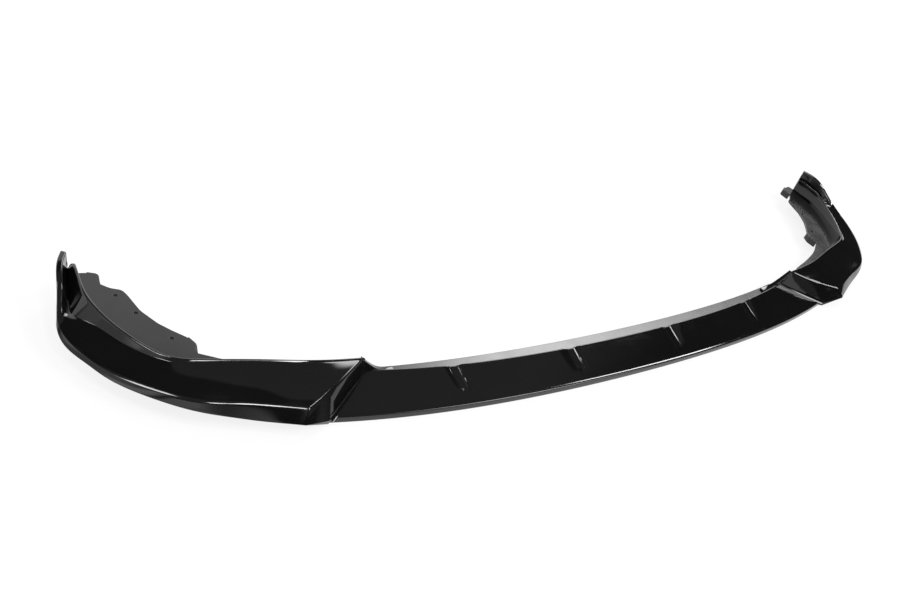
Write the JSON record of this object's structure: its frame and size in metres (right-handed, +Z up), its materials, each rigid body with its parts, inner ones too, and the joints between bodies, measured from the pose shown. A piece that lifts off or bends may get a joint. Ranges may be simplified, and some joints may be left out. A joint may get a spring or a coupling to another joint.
{
  "type": "front splitter lip",
  "caption": "Wide U-shaped front splitter lip of gloss black plastic with a low channelled centre and raised swept-back corners that end in upturned blades above screw flanges.",
  "frame": {"origin": "middle of the lip's box in plan, level with the lower edge of its nose", "axes": "+X across the car, +Y rearward towards the ends of the arms, +Z up"},
  "size_m": [1.8256, 0.395, 0.0773],
  "materials": {
    "gloss_black": "polished gloss",
    "satin_black": "satin, as moulded"
  },
  "bodies": {
    "root": {"splitter_lip": "gloss_black"}
  },
  "joints": []
}
